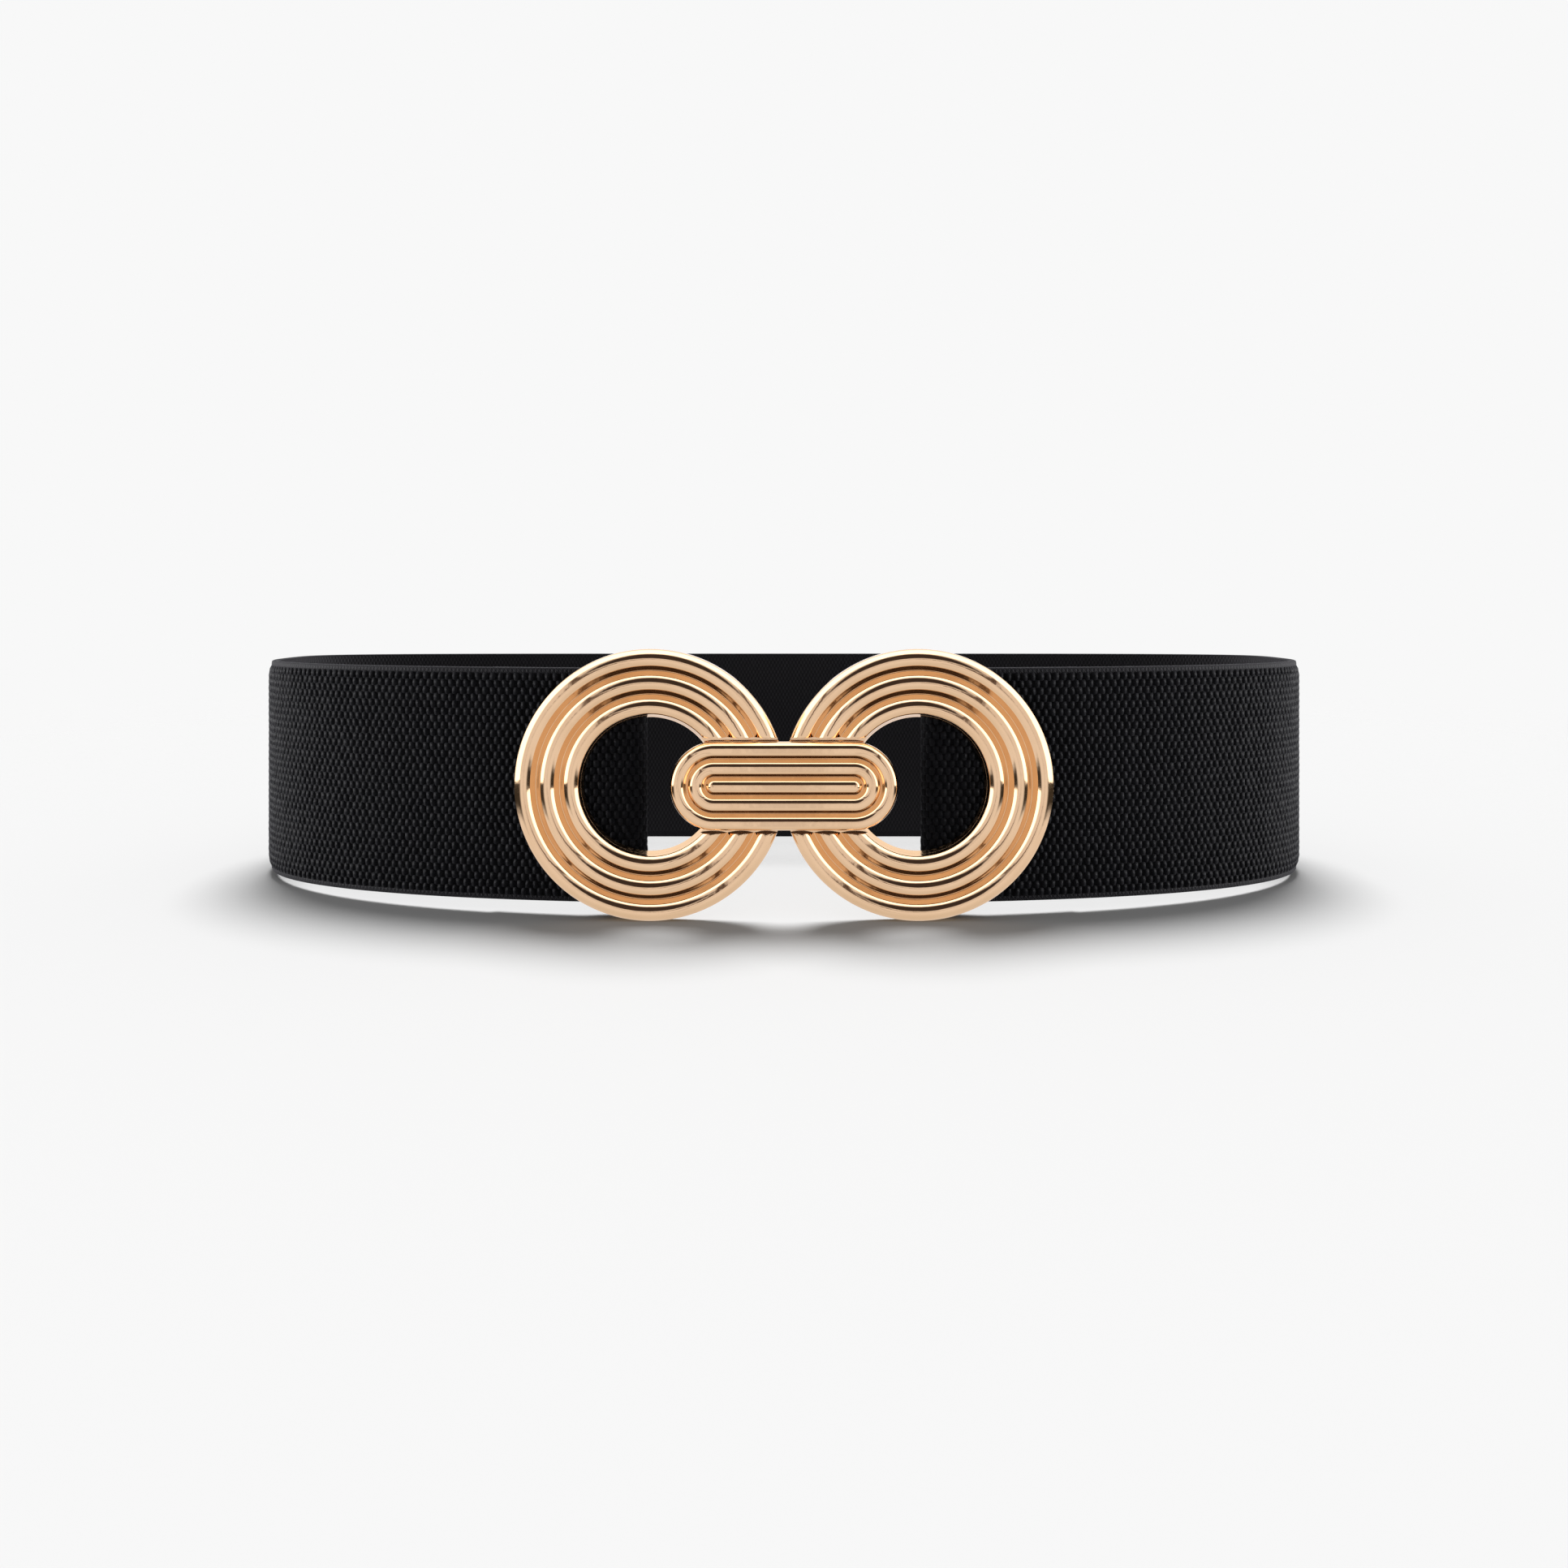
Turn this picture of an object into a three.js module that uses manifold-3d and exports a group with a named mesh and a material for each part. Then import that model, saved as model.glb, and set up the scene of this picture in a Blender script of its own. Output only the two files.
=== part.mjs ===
// Elastic stretch belt with an interlocking buckle of two ribbed rings.
//
// Millimetres, +Z up. The belt stands on its edge as it is worn: the buckle faces -Y, the back of the
// loop is towards +Y, and X runs along the wearer's waist from left to right in a front view.
// Below, "depth" is measured towards +Y from the foremost line that the band's outer face would reach.

import * as THREE from "three";
import { mergeVertices } from "three/addons/utils/BufferGeometryUtils.js";
import Module from "manifold-3d";

const wasm = await Module();
wasm.setup();

// Small gap left between neighbouring pieces
const GAP = 0.3;

// Elastic band
const BAND_HEIGHT = 60;
const BAND_THICKNESS = 2;
const SELVEDGE_ROUND = 0.7;
const SELVEDGE_STEPS = 1;

// Plan of the loop's outer face: two half super-ellipses that meet where the loop is widest
const LOOP_HALF_WIDTH = 153;
const FRONT_DEPTH = 68.6;
const BACK_DEPTH = 42.4;
const LOOP_DEPTH = FRONT_DEPTH + BACK_DEPTH;
const FRONT_EXPONENT = 2.19;
const BACK_EXPONENT = 4.47;

// Rings: they reach past both edges of the band. Where they meet, a little is trimmed off each rim.
const RING_OVERHANG = 5;
const RING_RADIUS = BAND_HEIGHT / 2 + RING_OVERHANG;
const RIM_TRIM = 0.7;
const RING_SPLIT = 0.5;
const RING_CENTRE_X = RING_RADIUS - RIM_TRIM + RING_SPLIT / 2;

// Fold of the band round its bar, with its edge a little beyond the ring's centre
const FOLD_BEYOND_CENTRE = 1.25;
const FOLD_EDGE_X = RING_CENTRE_X + FOLD_BEYOND_CENTRE;
const BAR_RADIUS = 1.5;
const EYE_RADIUS = BAR_RADIUS + GAP;
const FOLD_RADIUS = EYE_RADIUS + BAND_THICKNESS;
const EYE_TAPER = 7.5;
const FLAP_MEETS_BAND = 13;
const FLAP_LENGTH = 38;
const FLAP_END_SLOPE = 1.2;
const FLAP_DEPTH = 2 * BAND_THICKNESS;
const FOLD_SECTIONS = 4;

// Ring section: a flat base plate with half-round ribs that share its width
const HOLE_RADIUS = 17.2;
const PLATE_THICKNESS = 1.6;
const INNER_LIP = 0.7;
const OUTER_LIP = 0.2;
const RIB_COUNT = 3;
const RIB_GROOVE = 1.3;
const RIB_HEIGHT = 2.3;
const RIB_STEPS = 5;
const RING_STATIONS = 56;
const RIBBED_WIDTH = RING_RADIUS - OUTER_LIP - HOLE_RADIUS - INNER_LIP;
const RIB_HALF_WIDTH = (RIBBED_WIDTH - (RIB_COUNT - 1) * RIB_GROOVE) / (2 * RIB_COUNT);

// Link: an oval of two closed ribs round one straight rib
const LINK_HALF_STRAIGHT = 17.95;
const LINK_RIB_HALF_WIDTH = 1.95;
const LINK_GROOVE = 0.78;
const LINK_RIB_HEIGHT = 1.9;
const LINK_PLATE = 1.8;
const LINK_STATIONS = 32;
const LINK_RIB_STEPS = 4;
const LINK_RIB_PITCH = 2 * LINK_RIB_HALF_WIDTH + LINK_GROOVE;
const LINK_HALF_HEIGHT = 2 * LINK_RIB_PITCH + LINK_RIB_HALF_WIDTH;

// Recess in the rings' ribs for the link
const RECESS_CLEARANCE = 1;
const RECESS_HALF_HEIGHT = LINK_HALF_HEIGHT + RECESS_CLEARANCE;

// Lugs behind each ring that hold the bar
const LUG_WALL = 1.4;
const LUG_HALF_WIDTH = EYE_RADIUS + LUG_WALL;
const LUG_CLEARANCE = 0.7;
const LUG_INNER = BAND_HEIGHT / 2 + LUG_CLEARANCE;
const SOCKET_DEPTH = 2.2;
const SOCKET_WALL = 0.8;
const SOCKET_END = LUG_INNER + SOCKET_DEPTH;
const LUG_OUTER = SOCKET_END + SOCKET_WALL;

// Hidden hook behind the link
const HOOK_PLATE = 1.4;
const HOOK_HALF_HEIGHT = 5;
const HOOK_LEG = 2.6;

// How far a cutting body reaches past what it cuts
const CUT_MARGIN = 1;

const LINE_SAMPLES = 900;
const BAND_STEP = 7.5;
const ARC_STEPS = 8;
const BAR_SIDES = 20;

// Point of a quarter super-ellipse, from the widest place (share 0) to the front or back (share 1)
function quarter(depthRadius, exponent, share) {
  const angle = (share * Math.PI) / 2;
  const power = 2 / exponent;
  return [LOOP_HALF_WIDTH * Math.cos(angle) ** power, depthRadius * Math.sin(angle) ** power];
}

// The right half of the loop's outer face, from the front centre to the back centre
function halfLoop() {
  const points = [];
  for (let i = LINE_SAMPLES; i >= 0; i -= 1) {
    const [x, y] = quarter(FRONT_DEPTH, FRONT_EXPONENT, i / LINE_SAMPLES);
    points.push(new THREE.Vector2(x, FRONT_DEPTH - y));
  }
  for (let i = 1; i <= LINE_SAMPLES; i += 1) {
    const [x, y] = quarter(BACK_DEPTH, BACK_EXPONENT, i / LINE_SAMPLES);
    points.push(new THREE.Vector2(x, FRONT_DEPTH + y));
  }
  return points;
}

const outerLine = halfLoop();
const lineLengths = [0];
for (let i = 1; i < outerLine.length; i += 1) {
  lineLengths.push(lineLengths[i - 1] + outerLine[i].distanceTo(outerLine[i - 1]));
}
const HALF_LENGTH = lineLengths[lineLengths.length - 1];

// Point of the right half at a length along the outer face and a depth into the band
function bandPoint(along, inward) {
  const wanted = Math.min(Math.max(along, 0), HALF_LENGTH);
  let i = 1;
  while (i < lineLengths.length - 1 && lineLengths[i] < wanted) {
    i += 1;
  }
  const start = outerLine[i - 1];
  const end = outerLine[i];
  const share = (wanted - lineLengths[i - 1]) / (lineLengths[i] - lineLengths[i - 1]);
  const direction = end.clone().sub(start).normalize();
  const normal = new THREE.Vector2(-direction.y, direction.x);
  return start.clone().lerp(end, share).addScaledVector(normal, inward);
}

// Length along the outer face at which a point at the given depth has the wanted X
function alongAtX(x, inward) {
  let low = 0;
  let high = HALF_LENGTH / 2;
  for (let i = 0; i < 40; i += 1) {
    const middle = (low + high) / 2;
    if (bandPoint(middle, inward).x < x) {
      low = middle;
    } else {
      high = middle;
    }
  }
  return low;
}

const BAR_ALONG = alongAtX(FOLD_EDGE_X + FOLD_RADIUS, FOLD_RADIUS);
const barCentre = bandPoint(BAR_ALONG, FOLD_RADIUS);

// Depths of the flat planes of the buckle, from back to front
const RING_BACK = bandPoint(BAR_ALONG, 0).y - GAP;
const RING_FACE = RING_BACK - PLATE_THICKNESS;
const LINK_BACK = RING_FACE - GAP;
const LINK_FACE = LINK_BACK - LINK_PLATE;
const FOREMOST = LINK_FACE - LINK_RIB_HEIGHT;

// Closed body of a geometry, with shared corners merged and empty triangles left out
function solid(geometry) {
  const bare = geometry.index ? geometry.toNonIndexed() : geometry.clone();
  bare.deleteAttribute("normal");
  bare.deleteAttribute("uv");
  const merged = mergeVertices(bare, 1e-4);
  const corners = [];
  const index = merged.index.array;
  for (let i = 0; i < index.length; i += 3) {
    const [a, b, c] = [index[i], index[i + 1], index[i + 2]];
    if (a !== b && b !== c && c !== a) {
      corners.push(a, b, c);
    }
  }
  const mesh = new wasm.Mesh({
    numProp: 3,
    vertProperties: new Float32Array(merged.attributes.position.array),
    triVerts: new Uint32Array(corners),
  });
  return new wasm.Manifold(mesh);
}

// Geometry of a closed body
function geometryOf(body) {
  const mesh = body.getMesh();
  const geometry = new THREE.BufferGeometry();
  geometry.setAttribute("position", new THREE.BufferAttribute(mesh.vertProperties, 3));
  geometry.setIndex(new THREE.BufferAttribute(mesh.triVerts, 1));
  geometry.computeVertexNormals();
  return geometry;
}

function box(low, high) {
  const size = high.map((value, i) => value - low[i]);
  const geometry = new THREE.BoxGeometry(...size);
  geometry.translate(...low.map((value, i) => value + size[i] / 2));
  return solid(geometry);
}

// Upright round rod between two heights
function rod(x, y, radius, low, high) {
  const geometry = new THREE.CylinderGeometry(radius, radius, high - low, BAR_SIDES);
  geometry.rotateX(Math.PI / 2);
  geometry.translate(x, y, (low + high) / 2);
  return solid(geometry);
}

// Flat shape given by its plan, raised between two heights
function prism(points, low, high) {
  const options = { depth: high - low, bevelEnabled: false };
  const geometry = new THREE.ExtrudeGeometry(new THREE.Shape(points), options);
  geometry.translate(0, 0, low);
  return solid(geometry);
}

// Points of an arc in a plan, both ends included
function arc(centreX, centreY, radius, from, to, steps) {
  const points = [];
  for (let i = 0; i <= steps; i += 1) {
    const angle = from + ((to - from) * i) / steps;
    points.push(new THREE.Vector2(centreX + radius * Math.cos(angle), centreY + radius * Math.sin(angle)));
  }
  return points;
}

// Hollow of the fold round the bar, drawn out to a point where the two layers meet
function eyeOutline() {
  const round = arc(0, FOLD_RADIUS, EYE_RADIUS, Math.PI / 2, (3 * Math.PI) / 2, ARC_STEPS);
  return [...round, new THREE.Vector2(EYE_TAPER, BAND_THICKNESS + GAP)];
}

function onRightHalf(outline) {
  return outline.map((point) => bandPoint(BAR_ALONG + point.x, point.y));
}

function mirrored(points) {
  return points.map((point) => new THREE.Vector2(-point.x, point.y)).reverse();
}

// Lift of the band's lower edge at a depth: full at the buckle, none at the middle of the back
function lift(depth) {
  const none = LOOP_DEPTH - BAND_THICKNESS / 2;
  return (RING_OVERHANG * (none - depth)) / none;
}

// Cross-sections of the right half, from the tip of the fold to the back centre: the length along the
// outer face, and the depths of the section's near and far side below that face
function bandSections() {
  const sections = [];
  for (let i = 0; i < FOLD_SECTIONS; i += 1) {
    const angle = ((i + 0.5) * Math.PI) / (2 * FOLD_SECTIONS - 1);
    const spread = FOLD_RADIUS * Math.sin(angle);
    sections.push([BAR_ALONG - FOLD_RADIUS * Math.cos(angle), FOLD_RADIUS - spread, FOLD_RADIUS + spread]);
  }
  const flapMiddle = (FLAP_MEETS_BAND + FLAP_LENGTH) / 2;
  for (const beyondBar of [FLAP_MEETS_BAND, flapMiddle, FLAP_LENGTH]) {
    sections.push([BAR_ALONG + beyondBar, 0, FLAP_DEPTH]);
  }
  const start = BAR_ALONG + FLAP_LENGTH + FLAP_END_SLOPE;
  const steps = Math.round((HALF_LENGTH - start) / BAND_STEP);
  for (let i = 0; i <= steps; i += 1) {
    sections.push([start + ((HALF_LENGTH - start) * i) / steps, 0, BAND_THICKNESS]);
  }
  return sections;
}

// Straight strip seen from its end: thickness along X, height along Y, with rounded selvedges
function stripShape() {
  const shape = new THREE.Shape();
  const round = SELVEDGE_ROUND;
  const corners = [
    [round, round, Math.PI],
    [BAND_THICKNESS - round, round, 1.5 * Math.PI],
    [BAND_THICKNESS - round, BAND_HEIGHT - round, 0],
    [round, BAND_HEIGHT - round, 0.5 * Math.PI],
  ];
  for (const [x, y, from] of corners) {
    shape.absarc(x, y, round, from, from + Math.PI / 2);
  }
  shape.closePath();
  return shape;
}

// The strip is drawn straight, one unit between sections, and then bent round the loop
function elasticBand() {
  const half = bandSections();
  const last = 2 * (half.length - 1);
  const options = { depth: last, steps: last, bevelEnabled: false, curveSegments: SELVEDGE_STEPS };
  const geometry = new THREE.ExtrudeGeometry(stripShape(), options);
  const position = geometry.attributes.position;
  for (let i = 0; i < position.count; i += 1) {
    const station = Math.round(position.getZ(i));
    const side = station < half.length ? 1 : -1;
    const [along, near, far] = half[Math.min(station, last - station)];
    const inward = position.getX(i);
    const depth = inward < BAND_THICKNESS / 2 ? near + inward : far - (BAND_THICKNESS - inward);
    const place = bandPoint(along, depth);
    position.setXYZ(i, side * place.x, place.y, position.getY(i) + lift(place.y));
  }
  const eye = onRightHalf(eyeOutline());
  let body = solid(geometry);
  for (const points of [eye, mirrored(eye)]) {
    body = body.subtract(prism(points, -CUT_MARGIN, BAND_HEIGHT + RING_OVERHANG + CUT_MARGIN));
  }
  return body;
}

// Half-round rib seen from its side, as [radius, depth], from the inner edge to the outer edge
function ribProfile(radius, halfWidth, face, height, steps) {
  const points = [];
  for (let i = 0; i <= steps; i += 1) {
    const angle = Math.PI - (Math.PI * i) / steps;
    points.push(new THREE.Vector2(radius + halfWidth * Math.cos(angle), face - height * Math.sin(angle)));
  }
  return points;
}

// Upright lug behind the left ring, round at the back like the bar that it holds
function lugPlan(x) {
  const back = arc(x, barCentre.y, LUG_HALF_WIDTH, Math.PI, 0, ARC_STEPS);
  return [
    new THREE.Vector2(x - LUG_HALF_WIDTH, RING_FACE + PLATE_THICKNESS / 2),
    ...back,
    new THREE.Vector2(x + LUG_HALF_WIDTH, RING_FACE + PLATE_THICKNESS / 2),
  ].reverse();
}

// One ring about its own centre, with the recess on the side given (1 towards +X, -1 towards -X)
function ring(side) {
  const profile = [
    new THREE.Vector2(HOLE_RADIUS, RING_BACK),
    new THREE.Vector2(HOLE_RADIUS, RING_FACE),
  ];
  for (let i = 0; i < RIB_COUNT; i += 1) {
    const radius = HOLE_RADIUS + INNER_LIP + RIB_HALF_WIDTH + i * (2 * RIB_HALF_WIDTH + RIB_GROOVE);
    profile.push(...ribProfile(radius, RIB_HALF_WIDTH, RING_FACE, RIB_HEIGHT, RIB_STEPS));
  }
  profile.push(new THREE.Vector2(RING_RADIUS, RING_FACE));
  profile.push(new THREE.Vector2(RING_RADIUS, RING_BACK));
  profile.push(profile[0].clone());
  let body = solid(new THREE.LatheGeometry(profile, RING_STATIONS));

  const barX = -side * (barCentre.x - RING_CENTRE_X);
  for (const sign of [-1, 1]) {
    const [low, high] = sign > 0 ? [LUG_INNER, LUG_OUTER] : [-LUG_OUTER, -LUG_INNER];
    const mouth = LUG_INNER - CUT_MARGIN;
    const [socketLow, socketHigh] = sign > 0 ? [mouth, SOCKET_END] : [-SOCKET_END, -mouth];
    body = body.add(prism(lugPlan(barX), low, high));
    body = body.subtract(rod(barX, barCentre.y, EYE_RADIUS, socketLow, socketHigh));
  }

  const meeting = side * (RING_CENTRE_X - RING_SPLIT / 2);
  const beyond = side * (RING_RADIUS + CUT_MARGIN);
  const far = RING_FACE - RIB_HEIGHT - CUT_MARGIN;
  const recessX = [0, beyond].sort((a, b) => a - b);
  const splitX = [meeting, beyond].sort((a, b) => a - b);
  const recessLow = [recessX[0], far, -RECESS_HALF_HEIGHT];
  const recessHigh = [recessX[1], RING_FACE, RECESS_HALF_HEIGHT];
  body = body.subtract(box(recessLow, recessHigh));
  const splitLow = [splitX[0], far, -RECESS_HALF_HEIGHT];
  const splitHigh = [splitX[1], RING_BACK + CUT_MARGIN, RECESS_HALF_HEIGHT];
  return body.subtract(box(splitLow, splitHigh));
}

// The link: a turned profile whose two halves are drawn apart along X
function link() {
  const outerRib = 2 * LINK_RIB_PITCH;
  const centreRib = ribProfile(0, LINK_RIB_HALF_WIDTH, LINK_FACE, LINK_RIB_HEIGHT, 2 * LINK_RIB_STEPS);
  const profile = [
    ...centreRib.filter((point) => point.x > -1e-6),
    ...ribProfile(LINK_RIB_PITCH, LINK_RIB_HALF_WIDTH, LINK_FACE, LINK_RIB_HEIGHT, LINK_RIB_STEPS),
    ...ribProfile(outerRib, LINK_RIB_HALF_WIDTH, LINK_FACE, LINK_RIB_HEIGHT, LINK_RIB_STEPS),
    new THREE.Vector2(LINK_HALF_HEIGHT, LINK_BACK),
    new THREE.Vector2(0, LINK_BACK),
  ];
  profile[0].x = 0;
  const halfStep = Math.PI / LINK_STATIONS;
  const geometry = new THREE.LatheGeometry(profile, LINK_STATIONS, halfStep);
  const position = geometry.attributes.position;
  for (let station = 0; station <= LINK_STATIONS; station += 1) {
    const angle = halfStep + (2 * Math.PI * station) / LINK_STATIONS;
    const shift = Math.sign(Math.sin(angle)) * LINK_HALF_STRAIGHT;
    for (let j = 0; j < profile.length; j += 1) {
      const i = station * profile.length + j;
      position.setX(i, position.getX(i) + shift);
    }
  }
  return solid(geometry);
}

// The hook: a plain plate behind the two bridges with a leg through each ring's hole
function hook() {
  const holeHalfWidth = Math.sqrt(HOLE_RADIUS ** 2 - HOOK_HALF_HEIGHT ** 2);
  const inner = RING_CENTRE_X - holeHalfWidth + GAP;
  const outer = inner + HOOK_LEG;
  const plateFront = RING_BACK + GAP;
  const plateBack = plateFront + HOOK_PLATE;
  const plan = [
    new THREE.Vector2(-outer, RING_FACE),
    new THREE.Vector2(-inner, RING_FACE),
    new THREE.Vector2(-inner, plateFront),
    new THREE.Vector2(inner, plateFront),
    new THREE.Vector2(inner, RING_FACE),
    new THREE.Vector2(outer, RING_FACE),
    new THREE.Vector2(outer, plateBack),
    new THREE.Vector2(-outer, plateBack),
  ];
  return prism(plan, -HOOK_HALF_HEIGHT, HOOK_HALF_HEIGHT);
}

function bar() {
  const half = SOCKET_END - GAP;
  return rod(0, 0, BAR_RADIUS, -half, half);
}

const elastic = { color: 0x1b1a1a, roughness: 0.9, metalness: 0 };
const gold = { color: 0xe3b98c, roughness: 0.12, metalness: 1 };

function piece(name, body, look) {
  const mesh = new THREE.Mesh(geometryOf(body), new THREE.MeshStandardMaterial(look));
  mesh.name = name;
  return mesh;
}

// The buckle's group is centred on the rings, half a ring above the floor
const buckle = new THREE.Group();
buckle.position.set(0, 0, RING_RADIUS);
for (const [name, side] of [["left", -1], ["right", 1]]) {
  const ringMesh = piece(`ring_${name}`, ring(-side), gold);
  ringMesh.position.set(side * RING_CENTRE_X, 0, 0);
  const barMesh = piece(`bar_${name}`, bar(), gold);
  barMesh.position.set(side * barCentre.x, barCentre.y, 0);
  buckle.add(ringMesh, barMesh);
}
buckle.add(piece("link_pill", link(), gold));
buckle.add(piece("clasp_hook", hook(), gold));

// Origin: under the middle of the belt, at the height of its lowest points
const belt = new THREE.Group();
belt.position.set(0, -(FOREMOST + LOOP_DEPTH) / 2, 0);
belt.add(piece("elastic_band", elasticBand(), elastic));
belt.add(buckle);

export default belt;
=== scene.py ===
"""Looks of the elastic stretch belt: woven band, ribbed ring buckle, studio floor, light and camera."""

import math

import bpy
import numpy as np
from mathutils import Matrix

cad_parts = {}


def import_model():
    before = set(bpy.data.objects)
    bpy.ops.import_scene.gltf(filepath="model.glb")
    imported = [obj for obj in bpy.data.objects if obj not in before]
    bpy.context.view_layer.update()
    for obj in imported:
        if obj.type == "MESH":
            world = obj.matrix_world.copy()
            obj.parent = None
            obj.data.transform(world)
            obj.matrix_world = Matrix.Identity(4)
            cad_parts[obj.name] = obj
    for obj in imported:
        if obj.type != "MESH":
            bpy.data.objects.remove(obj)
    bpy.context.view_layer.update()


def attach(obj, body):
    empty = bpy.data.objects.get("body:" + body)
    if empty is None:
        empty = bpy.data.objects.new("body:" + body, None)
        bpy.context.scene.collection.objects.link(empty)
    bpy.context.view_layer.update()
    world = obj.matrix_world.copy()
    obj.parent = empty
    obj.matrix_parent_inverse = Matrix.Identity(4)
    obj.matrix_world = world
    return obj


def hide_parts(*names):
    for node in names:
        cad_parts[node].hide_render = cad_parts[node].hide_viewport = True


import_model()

MM = 0.001

# Sizes shared with the construction, in millimetres
GAP = 0.3
BAND_HEIGHT = 60.0
BAND_THICKNESS = 2.0
LOOP_HALF_WIDTH = 153.0
FRONT_DEPTH = 68.6
BACK_DEPTH = 42.4
LOOP_DEPTH = FRONT_DEPTH + BACK_DEPTH
FRONT_EXPONENT = 2.19
BACK_EXPONENT = 4.47
RING_OVERHANG = 5.0
RING_RADIUS = BAND_HEIGHT / 2 + RING_OVERHANG
RIM_TRIM = 0.7
RING_SPLIT = 0.5
RING_CENTRE_X = RING_RADIUS - RIM_TRIM + RING_SPLIT / 2
FOLD_EDGE_X = RING_CENTRE_X + 1.25
BAR_RADIUS = 1.5
EYE_RADIUS = BAR_RADIUS + GAP
FOLD_RADIUS = EYE_RADIUS + BAND_THICKNESS
FLAP_MEETS_BAND = 13.0
FLAP_LENGTH = 38.0
HOLE_RADIUS = 17.2
PLATE_THICKNESS = 1.6
RIB_COUNT = 3
RIB_HEIGHT = 2.3
LINK_HALF_STRAIGHT = 17.95
LINK_CRESTS = 3
LINK_RIB_HALF_WIDTH = 1.95
LINK_GROOVE = 0.78
LINK_RIB_HEIGHT = 1.9
LINK_PLATE = 1.8
LINK_RIB_PITCH = 2 * LINK_RIB_HALF_WIDTH + LINK_GROOVE
LINK_HALF_HEIGHT = (LINK_CRESTS - 1) * LINK_RIB_PITCH + LINK_RIB_HALF_WIDTH
RECESS_HALF_HEIGHT = LINK_HALF_HEIGHT + 1.0
LUG_HALF_WIDTH = EYE_RADIUS + 1.4
LUG_INNER = BAND_HEIGHT / 2 + 0.7
SOCKET_END = LUG_INNER + 2.2
LUG_OUTER = SOCKET_END + 0.8
LUG_SEAT = 0.6
LUG_OVERLAP = 0.2
HOOK_PLATE = 1.4
HOOK_HALF_HEIGHT = 5.0
HOOK_LEG = 2.6

# Rounding of edges, in millimetres
SOCKET_EDGE = 0.12
LUG_EDGE = 0.3
BAR_EDGE = 0.3
PLATE_EDGE = 0.25
LINK_EDGE = 0.3
HOOK_EDGE = 0.25

# Sections of the ribs: half widths of the rounded crests and grooves, and the steepest slope between
RING_FIRST_CREST = 20.35
RING_HALF_PITCH = 3.06
RING_ROUND_HALF = 2.03
RING_SLOPE = math.radians(52)
RING_FLATNESS = 1.0
LINK_ROUND_HALF = 1.62
LINK_SLOPE = math.radians(60)
LINK_FLATNESS = 1.7
GROOVE_ROUND_HALF = 0.10

# The outermost rib rounds off to the edge: shares of the way out, and of the drop in depth
RIB_EDGE = ((0.45, 0.22), (0.8, 0.5), (1.0, 0.9))
RING_EDGE_DROP = 0.75
LINK_EDGE_DROP = 0.8

# The ribs' rounded ends at the recess: shares of their height, and how far back each lies
RIB_END = ((0.96, 0.0), (0.985, 0.03), (1.0, 0.12))

# How the ribs sit in the base plate
PLATE_HOLE_RADIUS = HOLE_RADIUS + 0.1
RIB_SEAT = 0.3
RIB_INSET = 0.01
RIB_FOOT_INSET = 0.06

# Weave of the outer face: rows of raised floats, each row half a step off the next
FLOAT_ROWS = 31
FLOAT_STEP = 2.17
SELVEDGE_WIDTH = 1.5
FLOAT_ROW_HEIGHT = (BAND_HEIGHT - 2 * SELVEDGE_WIDTH) / FLOAT_ROWS
FLOAT_HALF_WIDTH = 0.82
FLOAT_HALF_HEIGHT = 0.58 * FLOAT_ROW_HEIGHT
FLOAT_WAIST = 0.22
FLOAT_RISE = 0.56
FLOAT_SINK = 0.06
FLOAT_END_ROOM = 0.8
GROUND_DEPTH = 0.36
SELVEDGE_BEAD = 0.38
BEAD_REACH = 0.75
BEAD_FULLNESS = 0.7

# Points of a float, as shares of its half width and half height, and the powers that shape its dome
FLOAT_ACROSS = (-1.0, -0.72, 0.0, 0.72, 1.0)
FLOAT_UPWARD = (-1.0, -0.84, 0.0, 0.84, 1.0)
DOME_ACROSS = 2.4
DOME_UPWARD = 4.0
DOME_FULLNESS = 0.6

# How much the floats vary: width and rise as shares, the others in millimetres
WIDTH_VARIES = 0.10
RISE_VARIES = 0.16
LEAN = 0.16
PLACE_VARIES = 0.10
HEIGHT_VARIES = 0.05

# The floats lie flatter where the band turns away from the front, at the sides of the loop
FLATTER_FROM = 0.6
FLATTER_OVER = 0.38
FLATTER_BY = 0.7

# How the band lies: its edges curl inward, its sides stand out a little, both in millimetres, and its
# lower edge sags by a share of its lift
EDGE_CURL = 0.55
EDGE_CURL_AT_SIDES = 0.75
EDGE_CURL_REACH = 1.3
SIDE_FULLNESS = 0.5
FRONT_SAG = 0.20
SIDE_SAG = 0.40

# Fineness of the metal: points of curves, and the longest step between two points
CREST_POINTS = 18
GROOVE_POINTS = 7
RING_POINT_STEP = 0.4
RING_STATIONS = 300
PLATE_SIDES = 320
CORNER_POINTS = 6
LUG_POINTS = 17
SOCKET_POINTS = 32
BAR_SIDES = 40
LINK_END_POINTS = 80

# Fineness of the cloth: points each way, and rounds of smoothing
PLAN_POINTS = 1500
FOLD_POINTS = 60
LOOP_POINTS = 3000
PATH_STEP = 0.25
PATH_SMOOTHING = 24
FACE_POINTS = 20
STRIP_STATIONS = 860
BEAD_POINTS = 9
EDGE_POINTS = 12

# The cloth's UVs are in centimetres
UV_UNIT = 10

# Stitching of the flaps: where the rows lie, as lengths beyond the bar, and the size of a stitch
THROUGH_STITCHES = (13.2, 15.4)
FLAP_END_STITCHES = 34.5
STITCH_STEP = 3.1
STITCH_LENGTH = 2.4
STITCH_RADIUS = 0.24
STITCH_REST = 0.1
STITCH_SINK = 0.16
STITCH_FIRST = 2.6
STITCH_LAST = BAND_HEIGHT - 2.4

rng = np.random.RandomState(12)


# Plan of the loop

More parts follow.
